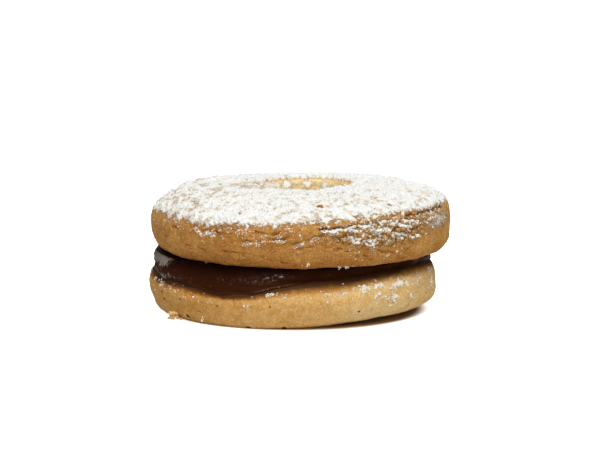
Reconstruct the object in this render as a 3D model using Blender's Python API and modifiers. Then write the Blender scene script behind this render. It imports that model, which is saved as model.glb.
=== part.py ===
"""Vanilla sandwich cookie: a thick ring biscuit on a layer of chocolate on a whole biscuit.

Blender 4.5, metres, +Z up.  The cookie stands on z = 0 on a flat spot of its domed underside, and
the origin is under the middle of its bounding box.  Azimuths run counter-clockwise from +X, and
-Y is the front.  Each biscuit is a turned outline that is then made uneven, as a baked one is.
"""

import math

import bpy
import numpy as np

MM = 0.001

# The ring biscuit on top, above its own underside.
RING_RADIUS = 29.9 * MM
RING_WIDEST = 6.3 * MM
RING_HEIGHT = 13.0 * MM
RING_SHOULDER_RADIUS = 28.1 * MM
RING_SHOULDER_HEIGHT = 9.95 * MM
RING_FOOT = 25.4 * MM
HOLE_RADIUS = 8.9 * MM
HOLE_LIP_RADIUS = 10.8 * MM

# How the ring departs from a turned shape.
RIGHT_WALL_RISE = 0.55 * MM
SWELL = 1.25 * MM
SWELL_RADIUS = 25.4 * MM
BACK_SAG = 0.5 * MM
RING_BELLY = 0.95 * MM
RING_LIP = 0.35 * MM
HOLE_SHIFT = 1.0 * MM

# The whole biscuit below, above the foot of its side, and how it departs from a turned shape.
BASE_RADIUS = 28.7 * MM
BASE_WIDEST = 5.1 * MM
BASE_HEIGHT = 9.15 * MM
BASE_FLAT_TOP = 22.0 * MM
BASE_FOOT = 23.6 * MM
UNDERSIDE_DOME = 0.8 * MM
BASE_BELLY = 1.15 * MM
BASE_LEFT_BELLY = 0.4 * MM
BASE_TUCK = 0.45 * MM
BASE_LIP = 0.7 * MM
LEFT_RISE = 0.95 * MM
RIGHT_RISE = 0.55 * MM

# How they are stacked: the lean lifts the right side, the pitch lifts the back.
BASE_LEAN = math.radians(2.0)
RING_LEAN = math.radians(0.4)
PITCH = math.radians(0.7)
BASE_PLACE = (-1.45 * MM, 0.0, 0.5 * MM)
RING_PLACE = (0.0, 0.0, 12.0 * MM)

# The filling, which overhangs the lower biscuit's shoulder at the front left.
GAP = 0.3 * MM
FILLING_EDGE = 26.2 * MM
FILLING_BULGE = 1.1 * MM
HOLE_DOME = 0.8 * MM
SPREAD = 0.30

WAVE = 0.003
AROUND = 64
MERGE = 0.0001
CUTTER_SIZE = 80.0 * MM
CUTTER_DEPTH = 5.0 * MM

BISCUIT_COLOUR = (0.50, 0.29, 0.11, 1.0)
CHOCOLATE_COLOUR = (0.035, 0.012, 0.006, 1.0)


# ---------------------------------------------------------------- outlines and small functions

def smoothstep(value, low, high):
    """0 below low, 1 above high, and a smooth S between them."""
    t = np.clip((value - low) / (high - low), 0.0, 1.0)
    return t * t * (3.0 - 2.0 * t)


def hump(azimuth, centre, width):
    """A bell of height 1 round one azimuth; centre and width are in degrees."""
    away = np.angle(np.exp(1j * (azimuth - math.radians(centre))))
    return np.exp(-((away / math.radians(width)) ** 2))


def wave(azimuth, phase):
    """The share by which a hand-cut biscuit's radius wanders round its rim."""
    return WAVE * (np.sin(3 * azimuth + phase) + 0.6 * np.sin(5 * azimuth + 2.1 * phase))


def span(start, end, t):
    """Points at t on the Bezier curve between two knots.

    A knot is (radius, height, heading in degrees, reach before it, reach after it): the curve
    passes through it along the heading, and the reaches are the lengths of its handles.
    """
    a = math.radians(start[2])
    b = math.radians(end[2])
    p0 = np.array(start[:2])
    p3 = np.array(end[:2])
    p1 = p0 + start[4] * np.array((math.cos(a), math.sin(a)))
    p2 = p3 - end[3] * np.array((math.cos(b), math.sin(b)))
    t = np.asarray(t)[..., None]
    s = 1.0 - t
    return s**3 * p0 + 3 * s * s * t * p1 + 3 * s * t * t * p2 + t**3 * p3


def outline(knots, steps, closed=False):
    """One line of points through the knots, with the given number of steps in each span."""
    ends = knots[1:] + knots[:1] if closed else knots[1:]
    parts = [span(a, b, np.arange(n) / n) for a, b, n in zip(knots, ends, steps)]
    if not closed:
        parts.append(np.array([knots[-1][:2]]))
    return np.concatenate(parts)


def ring_outline():
    """Closed outline of the ring: out over its dome, down its side, in below, up the hole."""
    knots = [
        (HOLE_LIP_RADIUS, RING_HEIGHT, 0, 0.7 * MM, 6.5 * MM),
        (RING_SHOULDER_RADIUS, RING_SHOULDER_HEIGHT, -28, 4.5 * MM, 1.6 * MM),
        (RING_RADIUS, RING_WIDEST, -90, 1.8 * MM, 3.9 * MM),
        (RING_FOOT, 0.0, 180, 2.8 * MM, 1.0 * MM),
        (HOLE_RADIUS + 1.0 * MM, 0.0, 180, 1.0 * MM, 0.5 * MM),
        (HOLE_RADIUS, 1.2 * MM, 90, 0.6 * MM, 1.0 * MM),
        (HOLE_RADIUS + 0.1 * MM, RING_HEIGHT - 1.6 * MM, 90, 1.0 * MM, 0.9 * MM),
    ]
    return outline(knots, (7, 4, 7, 3, 2, 3, 4), closed=True)


def base_knots():
    """Knots of the lower biscuit: middle of its top, flat edge, widest line, foot, middle below."""
    return [
        (0.0, BASE_HEIGHT - 0.15 * MM, 0, 1.0 * MM, 5.0 * MM),
        (BASE_FLAT_TOP, BASE_HEIGHT, 0, 5.0 * MM, 4.4 * MM),
        (BASE_RADIUS, BASE_WIDEST, -90, 2.7 * MM, 2.8 * MM),
        (BASE_FOOT, 0.0, 180, 3.6 * MM, 5.0 * MM),
        (0.0, -UNDERSIDE_DOME, 180, 8.0 * MM, 1.0 * MM),
    ]


# ---------------------------------------------------------------- what makes the pieces uneven

def bell(value, centre, width):
    """A bell of height 1 round the centre."""
    return np.exp(-(((value - centre) / width) ** 2))


def ring_unevenness(radius, height, azimuth):
    """Where a point of the turned ring really lies, in the ring's own axes.

    The side stands taller on the right, the shoulder swells at the back left, the dome sags at
    the back, the lower side bellies out on the right and its lip hangs at the front right, and
    the hole is off centre.
    """
    side = np.clip(height / (9 * MM), 0, 1) * smoothstep(radius, 9 * MM, RING_RADIUS)
    dome = smoothstep(height, 8 * MM, 10.5 * MM)
    swell = bell(radius, SWELL_RADIUS, 3.6 * MM)
    low = bell(height, 0.8 * MM, 2.4 * MM) * smoothstep(radius, 22 * MM, 27 * MM)
    lip = (1 - smoothstep(height, 1 * MM, 4.5 * MM)) * smoothstep(radius, 25 * MM, 28 * MM)
    z = (
        height
        + RIGHT_WALL_RISE * np.cos(azimuth) * side
        + SWELL * hump(azimuth, 152, 48) * swell * dome
        - BACK_SAG * hump(azimuth, 80, 55) * smoothstep(radius, 10 * MM, 22 * MM) * dome
        - RING_LIP * hump(azimuth, 318, 40) * lip
    )
    r = (radius + RING_BELLY * hump(azimuth, 352, 55) * low) * (1 + wave(azimuth, 0.8))
    x = r * np.cos(azimuth) + HOLE_SHIFT * (1 - smoothstep(radius, 10.5 * MM, 27 * MM))
    return np.stack([x, r * np.sin(azimuth), z], axis=-1)


def shoulder_rise(radius, height, azimuth):
    """How far the lower biscuit's shoulder rises at the left and, less, at the right."""
    ends = LEFT_RISE * hump(azimuth, 184, 38) + RIGHT_RISE * hump(azimuth, 2, 35)
    return ends * bell(radius, 26.8 * MM, 3 * MM) * smoothstep(height, 3.5 * MM, 7 * MM)


def base_unevenness(radius, height, azimuth):
    """Where a point of the turned lower biscuit really lies, in that biscuit's own axes.

    Its lower side bellies out on the right and a little at the front left, its left side is
    tucked in, its lower lip hangs lowest at the front, and its shoulder rises at both ends.
    """
    low = bell(height, 0.9 * MM, 2.1 * MM) * smoothstep(radius, 20 * MM, 25 * MM)
    middle = bell(height, 2.8 * MM, 1.6 * MM) * smoothstep(radius, 24 * MM, 27 * MM)
    lip = (1 - smoothstep(height, 1 * MM, 4 * MM)) * smoothstep(radius, 20 * MM, 24 * MM)
    belly = BASE_BELLY * hump(azimuth, 352, 38) + BASE_LEFT_BELLY * hump(azimuth, 225, 35)
    r = radius + belly * low - BASE_TUCK * hump(azimuth, 190, 45) * middle
    r = r * (1 + wave(azimuth, 2.3))
    z = height - BASE_LIP * hump(azimuth, 260, 27) * lip + shoulder_rise(radius, height, azimuth)
    return np.stack([r * np.cos(azimuth), r * np.sin(azimuth), z], axis=-1)


def filling_reach(azimuth):
    """How far the filling spreads down the lower biscuit's shoulder: 0 at its top, 1 at its widest."""
    return (
        SPREAD
        + 0.48 * hump(azimuth, 246.5, 20)
        + 0.31 * hump(azimuth, 205, 26)
        + 0.33 * hump(azimuth, 6, 26)
        + 0.15 * hump(azimuth, 105, 35)
    )


def filling_points():
    """The filling as rings of points in the lower biscuit's axes, from its top to its bottom.

    Each azimuth has its own section: the upper sheet lies under the ring's underside and rises a
    little in the hole, the side bulges, and the lower sheet follows the lower biscuit's crust.
    """
    azimuth = np.arange(AROUND) * 2 * math.pi / AROUND
    knots = base_knots()
    crust = np.concatenate(
        [
            span(knots[0], knots[1], np.full((AROUND, 4), np.arange(4) / 4)),
            span(knots[1], knots[2], filling_reach(azimuth)[:, None] * np.arange(7) / 6),
        ],
        axis=1,
    )
    along = np.gradient(crust, axis=1)
    along /= np.linalg.norm(along, axis=-1, keepdims=True)
    lower = crust + GAP * np.stack([-along[..., 1], along[..., 0]], axis=-1)
    lower[..., 1] += shoulder_rise(crust[..., 0], crust[..., 1], azimuth[:, None])

    edge = FILLING_EDGE + 0.6 * MM * hump(azimuth, 190, 30)
    radius = edge[:, None] * np.arange(1, 6) / 5
    slope = math.tan(BASE_LEAN) - math.tan(RING_LEAN)
    ceiling = RING_PLACE[2] - BASE_PLACE[2] - GAP - slope * radius * np.cos(azimuth)[:, None]
    upper = np.stack([radius, ceiling], axis=-1)

    start = upper[:, -1:]
    end = lower[:, -1:]
    first = start + np.array((FILLING_BULGE, -0.1 * MM))
    second = end + np.array((0.7 * FILLING_BULGE, 0.6 * MM))
    t = (np.arange(1, 6) / 6)[None, :, None]
    side = (1 - t) ** 3 * start + 3 * (1 - t) ** 2 * t * first + 3 * (1 - t) * t * t * second
    side = side + t**3 * end

    section = np.concatenate([upper, side, lower[:, :0:-1]], axis=1).transpose(1, 0, 2)
    r = section[..., 0] * (1 + wave(azimuth, 2.3))
    rings = np.stack([r * np.cos(azimuth), r * np.sin(azimuth), section[..., 1]], axis=-1)
    top = np.array((0.0, 0.0, RING_PLACE[2] - BASE_PLACE[2] - GAP))
    bottom = np.array((0.0, 0.0, knots[0][1] + GAP))
    hole = np.array((RING_PLACE[0] + HOLE_SHIFT - BASE_PLACE[0], 0.0))
    for points in (rings[:5], top[None]):
        near = np.linalg.norm(points[..., :2] - hole, axis=-1) / (HOLE_RADIUS - GAP)
        points[..., 2] += HOLE_DOME * (1 - smoothstep(near, 0.0, 1.0))
    return top, rings, bottom


# ---------------------------------------------------------------- making objects

def clear_scene():
    for old in list(bpy.data.objects):
        bpy.data.objects.remove(old, do_unlink=True)


def make_collection(name):
    collection = bpy.data.collections.new(name)
    bpy.context.scene.collection.children.link(collection)
    return collection


def material(name, colour, roughness):
    made = bpy.data.materials.new(name)
    made.use_nodes = True
    shader = made.node_tree.nodes["Principled BSDF"]
    shader.inputs["Base Color"].default_value = colour
    shader.inputs["Roughness"].default_value = roughness
    shader.inputs["Metallic"].default_value = 0.0
    made.diffuse_color = colour
    return made


def turned(name, points, closed):
    """Turns a line of (radius, height) points about Z with a Screw modifier."""
    last = len(points)
    edges = [(i, (i + 1) % last) for i in range(last if closed else last - 1)]
    profile = bpy.data.meshes.new(name + "_outline")
    profile.from_pydata([(r, 0.0, z) for r, z in points], edges, [])
    made = bpy.data.objects.new(name, profile)
    bpy.context.scene.collection.objects.link(made)
    screw = made.modifiers.new("turn", "SCREW")
    screw.axis = "Z"
    screw.angle = 2 * math.pi
    screw.steps = AROUND
    screw.render_steps = AROUND
    screw.use_merge_vertices = True
    screw.merge_threshold = MERGE
    bpy.context.view_layer.update()
    evaluated = made.evaluated_get(bpy.context.evaluated_depsgraph_get())
    made.data = bpy.data.meshes.new_from_object(evaluated)
    made.data.name = name
    made.modifiers.clear()
    bpy.data.meshes.remove(profile)
    return made


def reshape(piece, unevenness):
    """Moves each vertex of a turned piece to where the unevenness function says it lies."""
    vertices = piece.data.vertices
    flat = np.empty(len(vertices) * 3, np.float32)
    vertices.foreach_get("co", flat)
    points = flat.reshape(-1, 3).astype(float)
    radius = np.hypot(points[:, 0], points[:, 1])
    azimuth = np.arctan2(points[:, 1], points[:, 0])
    moved = unevenness(radius, points[:, 2], azimuth)
    vertices.foreach_set("co", moved.astype(np.float32).ravel())
    piece.data.update()


def lofted(name, top, rings, bottom):
    """A closed skin over rings of points, with a fan of triangles round each end point."""
    count, around = rings.shape[:2]
    points = np.concatenate([top[None], rings.reshape(-1, 3), bottom[None]])
    last = len(points) - 1
    faces = []
    for j in range(around):
        k = (j + 1) % around
        faces.append((0, 1 + j, 1 + k))
        for i in range(count - 1):
            near = 1 + i * around
            far = near + around
            faces.append((near + j, far + j, far + k, near + k))
        low = 1 + (count - 1) * around
        faces.append((low + j, last, low + k))
    mesh = bpy.data.meshes.new(name)
    mesh.from_pydata(points.tolist(), [], faces)
    made = bpy.data.objects.new(name, mesh)
    bpy.context.scene.collection.objects.link(made)
    return made


def finish(piece, collection, parent, place, lean, surface):
    """Puts a piece in its collection, in its place on the stack, and gives it its material."""
    bpy.context.scene.collection.objects.unlink(piece)
    collection.objects.link(piece)
    piece.parent = parent
    piece.location = place
    piece.rotation_euler = (PITCH, -lean, 0.0)
    piece.data.materials.append(surface)
    piece.data.shade_smooth()


def cut_flat_spot(piece, collection, parent):
    """Takes off what hangs below z = 0, so that the domed underside has a flat spot to rest on."""
    bpy.ops.mesh.primitive_cube_add(size=1.0)
    cutter = bpy.context.object
    cutter.name = "floor_cutter"
    cutter.scale = (CUTTER_SIZE, CUTTER_SIZE, CUTTER_DEPTH)
    cutter.location = (0.0, 0.0, -CUTTER_DEPTH / 2)
    for owner in list(cutter.users_collection):
        owner.objects.unlink(cutter)
    collection.objects.link(cutter)
    cutter.parent = parent
    cutter.hide_render = True
    cutter.display_type = "WIRE"
    cut = piece.modifiers.new("flat_spot", "BOOLEAN")
    cut.operation = "DIFFERENCE"
    cut.solver = "EXACT"
    cut.object = cutter


def centre_over_origin(pieces, parent):
    """Slides the whole stack so that its bounding box is centred over the origin."""
    bpy.context.view_layer.update()
    graph = bpy.context.evaluated_depsgraph_get()
    corners = []
    for piece in pieces:
        shown = piece.evaluated_get(graph)
        corners += [shown.matrix_world @ vertex.co for vertex in shown.data.vertices]
    points = np.array(corners)
    middle = (points.min(axis=0) + points.max(axis=0)) / 2
    parent.location = (-middle[0], -middle[1], 0.0)


def main():
    clear_scene()
    cookie = make_collection("vanilla_cookie")
    cutters = make_collection("cutters")
    stack = bpy.data.objects.new("stack", None)
    cookie.objects.link(stack)

    biscuit = material("biscuit", BISCUIT_COLOUR, 0.8)
    chocolate = material("chocolate", CHOCOLATE_COLOUR, 0.3)

    ring = turned("top_biscuit", ring_outline(), closed=True)
    reshape(ring, ring_unevenness)
    finish(ring, cookie, stack, RING_PLACE, RING_LEAN, biscuit)

    base = turned("bottom_biscuit", outline(base_knots(), (4, 7, 7, 5)), closed=False)
    reshape(base, base_unevenness)
    finish(base, cookie, stack, BASE_PLACE, BASE_LEAN, biscuit)
    cut_flat_spot(base, cutters, stack)

    filling = lofted("chocolate_filling", *filling_points())
    finish(filling, cookie, stack, BASE_PLACE, BASE_LEAN, chocolate)

    centre_over_origin((ring, base, filling), stack)


main()
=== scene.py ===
"""A bakery's vanilla sandwich cookie: an icing-sugared ring biscuit on chocolate on a whole biscuit.

Shapes are worked out in millimetres, as whole numpy arrays, and become metres when a mesh is made.
Azimuths run counter-clockwise from +X; -Y is the front.  Every biscuit surface is a grid: rows run
along an outline that is turned about Z, columns run round it.  Noises differ by a salt number.
"""

import itertools
import math

import bpy
import numpy as np
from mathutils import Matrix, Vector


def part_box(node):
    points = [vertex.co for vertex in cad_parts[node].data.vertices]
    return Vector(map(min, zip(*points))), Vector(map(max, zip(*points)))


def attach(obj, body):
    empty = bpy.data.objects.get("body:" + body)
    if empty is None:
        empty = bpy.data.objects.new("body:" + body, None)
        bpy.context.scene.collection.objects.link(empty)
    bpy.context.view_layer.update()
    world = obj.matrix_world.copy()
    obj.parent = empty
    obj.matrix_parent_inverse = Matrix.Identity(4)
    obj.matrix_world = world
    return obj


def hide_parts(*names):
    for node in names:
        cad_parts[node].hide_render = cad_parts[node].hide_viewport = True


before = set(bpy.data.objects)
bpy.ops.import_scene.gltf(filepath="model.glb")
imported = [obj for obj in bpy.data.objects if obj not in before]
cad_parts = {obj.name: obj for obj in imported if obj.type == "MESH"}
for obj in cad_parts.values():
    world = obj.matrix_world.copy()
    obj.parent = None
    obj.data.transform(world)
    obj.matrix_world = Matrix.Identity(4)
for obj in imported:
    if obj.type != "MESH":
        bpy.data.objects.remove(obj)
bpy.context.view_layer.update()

MM = 0.001

# ---- sizes of the two biscuits, mm

RING_RADIUS = 29.9
RING_WIDEST = 6.3
RING_HEIGHT = 13.0
RING_SHOULDER = (28.1, 9.95)
RING_FOOT = 25.4
HOLE_RADIUS = 8.9
HOLE_LIP_RADIUS = 10.8
RIGHT_WALL_RISE = 0.55
SWELL = 1.25
SWELL_RADIUS = 25.4
BACK_SAG = 0.5
RING_BELLY = 0.95
RING_LIP = 0.35
HOLE_SHIFT = 1.0

BASE_RADIUS = 28.7
BASE_WIDEST = 5.1
BASE_HEIGHT = 9.15
BASE_FLAT_TOP = 22.0
BASE_FOOT = 23.6
UNDERSIDE_DOME = 0.8
BASE_BELLY = 1.15
BASE_LEFT_BELLY = 0.4
BASE_TUCK = 0.45
BASE_LIP = 0.7
LEFT_RISE = 0.95
RIGHT_RISE = 0.55

BASE_LEAN = math.radians(2.0)
RING_LEAN = math.radians(0.4)
PITCH = math.radians(0.7)
BASE_PLACE = np.array((-1.45, 0.0, 0.5))
RING_PLACE = np.array((0.0, 0.0, 12.0))

FILLING_EDGE = 26.2
FILLING_BULGE = 1.1
HOLE_DOME = 0.8
SPREAD = 0.3
BITE = 0.12              # how far the filling presses into each biscuit's crumb
WAVE = 0.003

SUGAR_LINE = 8.85        # the height down to which sugar lies on the ring's side
COAT_STEP = 0.46         # how much deeper the sugar is well inside its edge than outside
COAT_BACKING = 1.4       # how far below the crust the coat's hidden underside lies
COAT_SUNK = 0.25         # how far below the crust the coat hides where there is no sugar
CAUGHT_RISE = 0.34       # how far a crack's sugared lower edge stands out
SPOKE_RADIUS = 18        # where noises over azimuth and radius are as wide as they say
DRAG_RADIUS = 9          # the same for the filling's noise, which is drawn out beyond it
HIGHEST = 25.7           # the level that strewn lumps stay under

# Columns round each grid, and rows in each span of its outline.
COLUMNS = 688
RING_ROWS = (20, 26, 60, 8, 4, 14, 10)
BASE_ROWS = (8, 46, 42, 30)
COAT_COLUMNS = 800
COAT_ROWS = (9, 60, 27, 17)
FILLING_ROWS = (20, 60, 4, 12)


# ---- small functions on arrays

def ease(value, low, high):
    """0 below low, 1 above high, and between them 3t^2 - 2t^3 of the share of the way."""
    t = np.clip((value - low) / (high - low), 0.0, 1.0)
    return t * t * (3.0 - 2.0 * t)


def fall(value, low, high):
    """1 below low and 0 above high: what ease leaves of 1."""
    return 1 - ease(value, low, high)


def bell(value, centre, width):
    """A bell curve: e to the minus square of the distance from the centre over the width."""
    return np.exp(-(((value - centre) / width) ** 2))


def hump(azimuth, centre, width):
    """The same bell round the rim, by the shorter way round: the azimuth is in radians, its centre
    and width in degrees."""
    away = np.angle(np.exp(1j * (azimuth - math.radians(centre))))
    return np.exp(-((away / math.radians(width)) ** 2))


def humps(azimuth, *terms):
    """Humps added up, each given as its amount, centre and width."""
    return sum(amount * hump(azimuth, centre, width) for amount, centre, width in terms)


def ovals(azimuth, level, *terms):
    """Oval patches added up: each is an amount, the centre and width of a hump round the rim,
    and the centre and width of a bell across it, which multiply."""
    return sum(
        amount * hump(azimuth, centre, width) * bell(level, middle, tall)
        for amount, centre, width, middle, tall in terms
    )


def wave(azimuth, phase):
    """The share by which a hand-cut biscuit's radius wanders: two sines, 3 and 5 to a turn."""
    return WAVE * (np.sin(3 * azimuth + phase) + 0.6 * np.sin(5 * azimuth + 2.1 * phase))


def scramble(i, j, k, salt):
    """Whole numbers to even chances in 0..1: multiply by odd numbers, fold the bits, repeat."""
    n = i.astype(np.uint32) * np.uint32(374761393) + j.astype(np.uint32) * np.uint32(668265263)
    n = n + k.astype(np.uint32) * np.uint32(2246822519) + np.uint32(salt * 2654435 + 97)
    n = (n ^ (n >> np.uint32(15))) * np.uint32(2246822519)
    n = (n ^ (n >> np.uint32(13))) * np.uint32(3266489917)
    return (n ^ (n >> np.uint32(16))) / 4294967296.0


def lattice(points, size):
    """The places in a lattice of the given size (a number, or one for each axis), and the cells
    that they are in."""
    q = points / np.asarray(size)
    return q, np.floor(q).astype(np.int64)


def neighbours(cell, steps):
    """The cells that lie the given steps away along each axis, with the steps."""
    for step in itertools.product(steps, repeat=3):
        yield step, [cell[..., n] + step[n] for n in range(3)]


def noise(points, size, salt):
    """Smooth noise, about -1..1, with bumps as wide as size.

    Each corner of a cubic lattice has a random slope; a point blends the eight slopes round it
    with the weights 6t^5 - 15t^4 + 10t^3.
    """
    q, cell = lattice(points, size)
    f = q - cell
    w = f * f * f * (f * (f * 6 - 15) + 10)
    total = np.zeros(points.shape[:-1])
    for step, corner in neighbours(cell, (0, 1)):
        slope = [2 * scramble(*corner, salt + 31 * n) - 1 for n in range(3)]
        rise = sum(slope[n] * (f[..., n] - step[n]) for n in range(3))
        weight = [w[..., n] if step[n] else 1 - w[..., n] for n in range(3)]
        total += rise * weight[0] * weight[1] * weight[2]
    return 1.6 * total


def noises(points, *terms):
    """Smooth noises added up, each given as its amount, size and salt."""
    return sum(amount * noise(points, size, salt) for amount, size, salt in terms)


def fractal(points, size, octaves, salt, gain=0.5):
    """Octaves of smooth noise added up, each half as wide as the last and gain times as strong."""
    size = np.asarray(size)
    return noises(points, *((gain**n, size / 2**n, salt + 7 * n) for n in range(octaves)))


def lumps(points, size, salt):
    """Grains packed together: distances to the nearest and second nearest seed, and a random number
    of the nearest.  Space is cut into cubes of the given size with one seed at a random place in
    each; the distances are in cubes."""
    q, cell = lattice(points, size)
    first = second = name = np.full(points.shape[:-1], 9.0)
    for _, near in neighbours(cell, (-1, 0, 1)):
        seed = [near[n] + scramble(*near, salt + 17 * n) for n in range(3)]
        away = sum((q[..., n] - seed[n]) ** 2 for n in range(3))
        closer = away < first
        second = np.where(closer, first, np.minimum(second, away))
        name = np.where(closer, scramble(*near, salt + 99), name)
        first = np.where(closer, away, first)
    return np.sqrt(first), np.sqrt(second), name


# ---- outlines and grids

def span(start, end, t):
    """Points at t on the Bezier curve between two knots.

    A knot is (radius, height, heading in degrees, reach before it, reach after it): the curve
    passes through it along the heading, and the reaches are the lengths of its handles.
    """
    a, b = math.radians(start[2]), math.radians(end[2])
    p0, p3 = np.array(start[:2]), np.array(end[:2])
    p1 = p0 + start[4] * np.array((math.cos(a), math.sin(a)))
    p2 = p3 - end[3] * np.array((math.cos(b), math.sin(b)))
    return bezier(p0, p1, p2, p3, np.asarray(t)[..., None])


def bezier(p0, p1, p2, p3, t):
    """Points at t on the cubic curve from p0 to p3 with the handles' ends p1 and p2."""
    s = 1.0 - t
    return s**3 * p0 + 3 * s * s * t * p1 + 3 * s * t * t * p2 + t**3 * p3


def outline(knots, steps, closed=False):
    """One line of points through the knots, with the given number of steps in each span."""
    ends = knots[1:] + knots[:1] if closed else knots[1:]
    parts = [span(a, b, np.arange(n) / n) for a, b, n in zip(knots, ends, steps)]
    if not closed:
        parts.append(np.array([knots[-1][:2]]))
    return np.concatenate(parts)


def ring_knots():
    """Knots of the ring: lip, shoulder, widest line, foot, and the hole's foot, wall and top."""
    return [
        (HOLE_LIP_RADIUS, RING_HEIGHT, 0, 0.7, 6.5),
        (*RING_SHOULDER, -28, 4.5, 1.6),
        (RING_RADIUS, RING_WIDEST, -90, 1.8, 3.9),
        (RING_FOOT, 0.0, 180, 2.8, 1.0),
        (HOLE_RADIUS + 1.0, 0.0, 180, 1.0, 0.5),
        (HOLE_RADIUS, 1.2, 90, 0.6, 1.0),
        (HOLE_RADIUS + 0.1, RING_HEIGHT - 1.6, 90, 1.0, 0.9),
    ]


def ring_outline():
    """Closed outline of the ring: out over its dome, down its side, in below, up the hole."""
    return outline(ring_knots(), RING_ROWS, closed=True)


def coat_outline():
    """The part of the ring's outline that sugar can lie on: from the top of the hole's wall, over
    the dome and down the side to 2.5 mm above the foot."""
    knots = ring_knots()
    over = outline([knots[6], *knots[:3]], COAT_ROWS[:3])
    down = span(knots[2], knots[3], 0.37 * np.arange(1, COAT_ROWS[3] + 1) / COAT_ROWS[3])
    return np.concatenate([over, down])


def base_knots():
    """Knots of the lower biscuit: middle of its top, flat edge, widest line, foot, middle below."""
    return [
        (0.0, BASE_HEIGHT - 0.15, 0, 1.0, 5.0),
        (BASE_FLAT_TOP, BASE_HEIGHT, 0, 5.0, 4.4),
        (BASE_RADIUS, BASE_WIDEST, -90, 2.7, 2.8),
        (BASE_FOOT, 0.0, 180, 3.6, 5.0),
        (0.0, -UNDERSIDE_DOME, 180, 8.0, 1.0),
    ]


def turned(radius, azimuth, z):
    """Points at a radius, azimuth and height."""
    return np.stack([radius * np.cos(azimuth), radius * np.sin(azimuth), z], axis=-1)


def ring_shape(radius, height, azimuth):
    """The ring's smooth surface in its own axes: a turned outline made uneven.

    The height gains a cosine of the azimuth on the side, a bell-shaped swelling of the shoulder at
    the back left, a sag at the back and a lower lip that hangs at the front right; the radius gains
    a belly low on the right and the rim's waves; the hole slides to the right.
    """
    side = np.clip(height / 9, 0, 1) * ease(radius, 9, RING_RADIUS)
    dome = ease(height, 8, 10.5)
    low = bell(height, 0.8, 2.4) * ease(radius, 22, 27)
    z = (
        height
        + RIGHT_WALL_RISE * np.cos(azimuth) * side
        + ovals(azimuth, radius, (SWELL, 152, 48, SWELL_RADIUS, 3.6)) * dome
        - BACK_SAG * hump(azimuth, 80, 55) * ease(radius, 10, 22) * dome
        - RING_LIP * hump(azimuth, 318, 40) * fall(height, 1, 4.5) * ease(radius, 25, 28)
    )
    r = (radius + RING_BELLY * hump(azimuth, 352, 55) * low) * (1 + wave(azimuth, 0.8))
    slide = np.stack([HOLE_SHIFT * fall(radius, 10.5, 27), 0 * z, 0 * z], axis=-1)
    return turned(r, azimuth, z) + slide


def shoulder_rise(radius, height, azimuth):
    """How far the lower biscuit's shoulder rises at the left and, less, at the right: a bell of
    the azimuth for each, times one of the radius, from half the biscuit's height up."""
    ends = ((LEFT_RISE, 184, 38, 26.8, 3.0), (RIGHT_RISE, 2, 35, 26.8, 3.0))
    return ovals(azimuth, radius, *ends) * ease(height, 3.5, 7)


def base_shape(radius, height, azimuth):
    """The lower biscuit's smooth surface in its own axes: a turned outline with bellies low on the
    right and front left, a tuck on the left, the rim's waves, a lower lip that hangs lowest at the
    front, and a shoulder that rises at both ends."""
    low = bell(height, 0.9, 2.1) * ease(radius, 20, 25)
    middle = bell(height, 2.8, 1.6) * ease(radius, 24, 27)
    lip = fall(height, 1, 4) * ease(radius, 20, 24)
    belly = humps(azimuth, (BASE_BELLY, 352, 38), (BASE_LEFT_BELLY, 225, 35))
    r = radius + belly * low - BASE_TUCK * hump(azimuth, 190, 45) * middle
    z = height - BASE_LIP * hump(azimuth, 260, 27) * lip + shoulder_rise(radius, height, azimuth)
    return turned(r * (1 + wave(azimuth, 2.3)), azimuth, z)


def on_grid(line, columns=COLUMNS):
    """An outline's radii and heights, and the azimuths round it, each spread over the whole grid."""
    azimuth = np.arange(columns) * 2 * math.pi / columns
    return np.broadcast_arrays(line[:, :1], line[:, 1:], azimuth)


def outward(grid, closed):
    """Unit normals of a grid: the cross product of the steps to its neighbours on either side."""
    around = np.roll(grid, -1, axis=1) - np.roll(grid, 1, axis=1)
    if closed:
        along = np.roll(grid, -1, axis=0) - np.roll(grid, 1, axis=0)
    else:
        along = np.gradient(grid, axis=0)
    normal = np.cross(along, around)
    length = np.linalg.norm(normal, axis=-1, keepdims=True)
    return normal / np.maximum(length, 1e-9)


def stood(points, place, lean):
    """Points tipped back by the pitch about X, then by the lean about Y, then moved to a place."""
    x, y, z = points[..., 0], points[..., 1], points[..., 2]
    y, z = y * math.cos(PITCH) - z * math.sin(PITCH), y * math.sin(PITCH) + z * math.cos(PITCH)
    x, z = x * math.cos(lean) - z * math.sin(lean), x * math.sin(lean) + z * math.cos(lean)
    return np.stack([x, y, z], axis=-1) + place


def stack_shift():
    """How far the CAD stack was slid to centre it, from the ring's box there and here."""
    smooth = stood(ring_shape(*on_grid(ring_outline())), RING_PLACE, RING_LEAN)
    low, high = (np.array(corner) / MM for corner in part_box("top_biscuit"))
    middle = (smooth.min(axis=(0, 1)) + smooth.max(axis=(0, 1))) / 2
    return ((low + high) / 2 - middle) * (1, 1, 0)


SHIFT = stack_shift()


# ---- from arrays to meshes

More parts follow.
